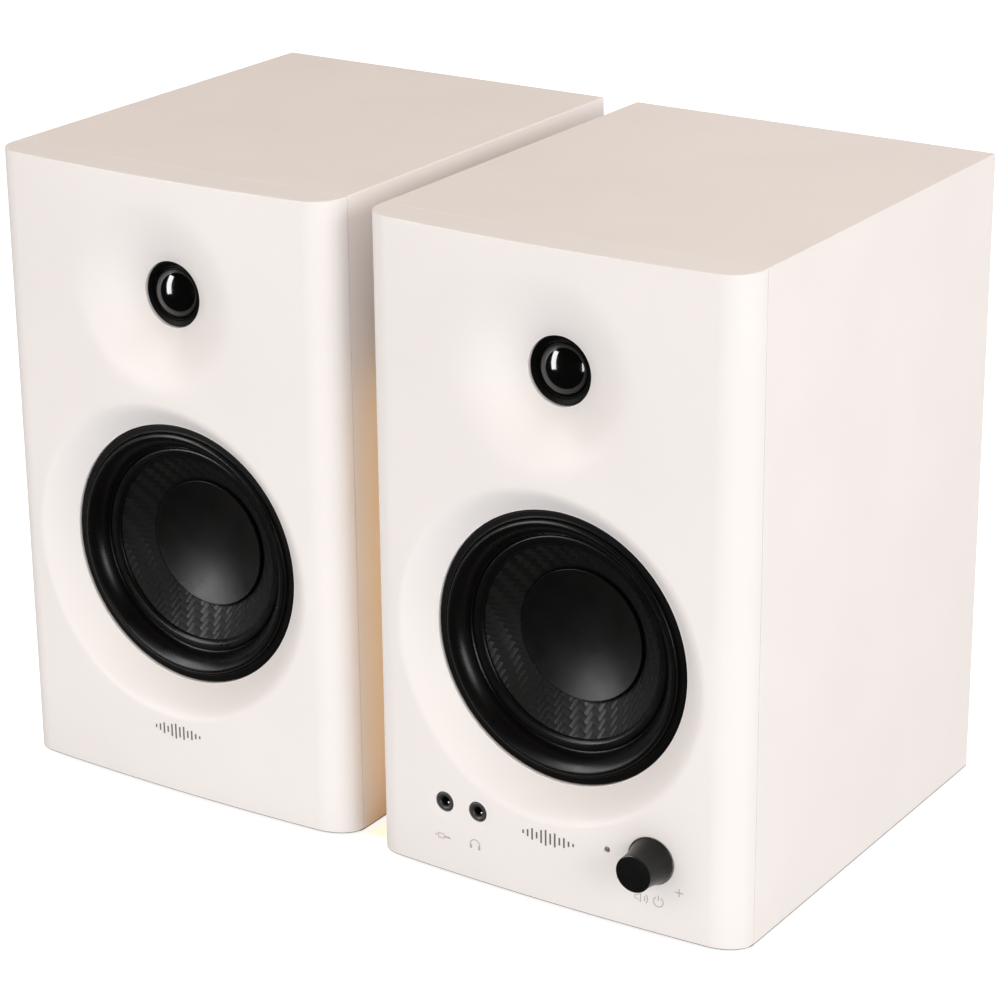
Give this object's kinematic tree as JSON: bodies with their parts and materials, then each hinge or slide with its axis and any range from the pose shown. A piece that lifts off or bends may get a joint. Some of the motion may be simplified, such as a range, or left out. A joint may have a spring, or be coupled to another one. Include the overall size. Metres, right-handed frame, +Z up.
{
  "type": "desktop speakers",
  "caption": "Pair of compact white two-way desktop speakers, active and passive, with working drivers, volume knob, tone knobs, switch and clips.",
  "frame": {"origin": "bottom centre of the pair's box, on the plane that the feet stand on", "axes": "+Z up, -Y is the side that the drivers face, +X towards the active speaker"},
  "size_m": [0.2938, 0.1976, 0.228],
  "materials": {
    "cabinet_white": "satin white laminate over fibreboard, sharp edges",
    "baffle_white": "fine satin white, soft to the touch",
    "black_plastic": "fine matt black moulding",
    "knob_black": "fine matt black, slightly satin",
    "rear_metal": "matt black powder coat",
    "red_plastic": "satin red moulding",
    "clip_black": "satin black moulding",
    "light_pipe": "clear light pipe, unlit grey",
    "rubber": "matt moulded rubber with a soft sheen",
    "foot_rubber": "matt rubber pad",
    "cone": "black woven fibre cone, large twill, resin satin",
    "dust_cap": "matt black pressed cap",
    "dome": "coated glossy black soft dome",
    "steel": "plain machined steel",
    "basket": "black stove enamel",
    "magnet": "dark ferrite between zinc-plated plates",
    "copper": "enamelled copper winding",
    "spider": "treated cotton cloth",
    "board": "green solder mask with components",
    "transformer": "varnished laminations and taped winding"
  },
  "bodies": {
    "active_cabinet": {"active_cabinet": "cabinet_white", "active_front_baffle": "baffle_white", "active_rear_panel": "cabinet_white", "active_port_tube": "black_plastic", "active_foot_front_left": "foot_rubber", "active_foot_front_right": "foot_rubber", "active_foot_rear_left": "foot_rubber", "active_foot_rear_right": "foot_rubber", "active_woofer_surround": "rubber", "active_woofer_spider": "spider", "active_woofer_basket": "basket", "active_woofer_magnet": "magnet", "active_tweeter_housing": "black_plastic", "aux_jack": "black_plastic", "headphone_jack": "black_plastic", "status_light": "light_pipe", "volume_encoder": "steel", "control_board": "board", "rear_plate": "rear_metal", "line_in_right": "black_plastic", "line_in_left": "black_plastic", "rca_sockets": "black_plastic", "power_switch_frame": "black_plastic", "mains_inlet": "black_plastic", "output_terminal": "black_plastic", "amplifier_board": "board", "transformer": "transformer"},
    "passive_cabinet": {"passive_cabinet": "cabinet_white", "passive_front_baffle": "baffle_white", "passive_rear_panel": "cabinet_white", "passive_port_tube": "black_plastic", "passive_foot_front_left": "foot_rubber", "passive_foot_front_right": "foot_rubber", "passive_foot_rear_left": "foot_rubber", "passive_foot_rear_right": "foot_rubber", "passive_woofer_surround": "rubber", "passive_woofer_spider": "spider", "passive_woofer_basket": "basket", "passive_woofer_magnet": "magnet", "passive_tweeter_housing": "black_plastic", "passive_terminal": "black_plastic", "crossover_board": "board"},
    "active_woofer_motion": {"active_woofer_cone": "cone", "active_woofer_dust_cap": "dust_cap", "active_woofer_voice_coil": "copper"},
    "passive_woofer_motion": {"passive_woofer_cone": "cone", "passive_woofer_dust_cap": "dust_cap", "passive_woofer_voice_coil": "copper"},
    "active_tweeter_motion": {"active_tweeter_dome": "dome"},
    "passive_tweeter_motion": {"passive_tweeter_dome": "dome"},
    "volume_plunger": {"encoder_plunger": "steel"},
    "volume_knob": {"volume_knob": "knob_black", "volume_shaft": "steel"},
    "treble_knob": {"treble_knob": "knob_black"},
    "bass_knob": {"bass_knob": "knob_black"},
    "power_rocker": {"power_rocker": "clip_black"},
    "active_red_clip": {"active_red_clip": "red_plastic"},
    "active_black_clip": {"active_black_clip": "clip_black"},
    "passive_red_clip": {"passive_red_clip": "red_plastic"},
    "passive_black_clip": {"passive_black_clip": "clip_black"}
  },
  "joints": [
    {"name": "speaker_spacing", "type": "slide", "parent": "active_cabinet", "child": "passive_cabinet", "axis": [-1, 0, 0], "range_m": [0, 0.6]},
    {"name": "active_woofer_travel", "type": "slide", "parent": "active_cabinet", "child": "active_woofer_motion", "axis": [0, -1, 0], "range_m": [-0.003, 0.003], "stiffness_N_per_m": 1000, "deforming": ["active_woofer_surround", "active_woofer_spider"]},
    {"name": "active_tweeter_travel", "type": "slide", "parent": "active_cabinet", "child": "active_tweeter_motion", "axis": [0, -1, 0], "range_m": [-0.0003, 0.0003], "stiffness_N_per_m": 400},
    {"name": "passive_woofer_travel", "type": "slide", "parent": "passive_cabinet", "child": "passive_woofer_motion", "axis": [0, -1, 0], "range_m": [-0.003, 0.003], "stiffness_N_per_m": 1000, "deforming": ["passive_woofer_surround", "passive_woofer_spider"]},
    {"name": "passive_tweeter_travel", "type": "slide", "parent": "passive_cabinet", "child": "passive_tweeter_motion", "axis": [0, -1, 0], "range_m": [-0.0003, 0.0003], "stiffness_N_per_m": 400},
    {"name": "volume_press", "type": "slide", "parent": "active_cabinet", "child": "volume_plunger", "axis": [0, 1, 0], "range_m": [0, 0.0005], "stiffness_N_per_m": 3000, "springref_m": -0.0003},
    {"name": "volume_turn", "type": "hinge", "parent": "volume_plunger", "child": "volume_knob", "pos_m": [0.11665, -0.09295, 0.03], "axis": [0, -1, 0], "continuous": true},
    {"name": "treble_turn", "type": "hinge", "parent": "active_cabinet", "child": "treble_knob", "pos_m": [0.11085, 0.09055, 0.1276], "axis": [0, 1, 0], "range_deg": [-140, 140]},
    {"name": "bass_turn", "type": "hinge", "parent": "active_cabinet", "child": "bass_knob", "pos_m": [0.08685, 0.09055, 0.1276], "axis": [0, 1, 0], "range_deg": [-140, 140]},
    {"name": "power_rocker_tilt", "type": "hinge", "parent": "active_cabinet", "child": "power_rocker", "pos_m": [0.04285, 0.08305, 0.0786], "axis": [1, 0, 0], "range_deg": [0, 15]},
    {"name": "active_red_clip_press", "type": "hinge", "parent": "active_cabinet", "child": "active_red_clip", "pos_m": [0.10735, 0.09105, 0.0621], "axis": [-1, 0, 0], "range_deg": [0, 22], "stiffness_Nm_per_rad": 0.02, "springref_deg": -5.73},
    {"name": "active_black_clip_press", "type": "hinge", "parent": "active_cabinet", "child": "active_black_clip", "pos_m": [0.09035, 0.09105, 0.0621], "axis": [-1, 0, 0], "range_deg": [0, 22], "stiffness_Nm_per_rad": 0.02, "springref_deg": -5.73},
    {"name": "passive_red_clip_press", "type": "hinge", "parent": "passive_cabinet", "child": "passive_red_clip", "pos_m": [-0.06835, 0.09105, 0.0621], "axis": [-1, 0, 0], "range_deg": [0, 22], "stiffness_Nm_per_rad": 0.02, "springref_deg": -5.73},
    {"name": "passive_black_clip_press", "type": "hinge", "parent": "passive_cabinet", "child": "passive_black_clip", "pos_m": [-0.08535, 0.09105, 0.0621], "axis": [-1, 0, 0], "range_deg": [0, 22], "stiffness_Nm_per_rad": 0.02, "springref_deg": -5.73}
  ]
}
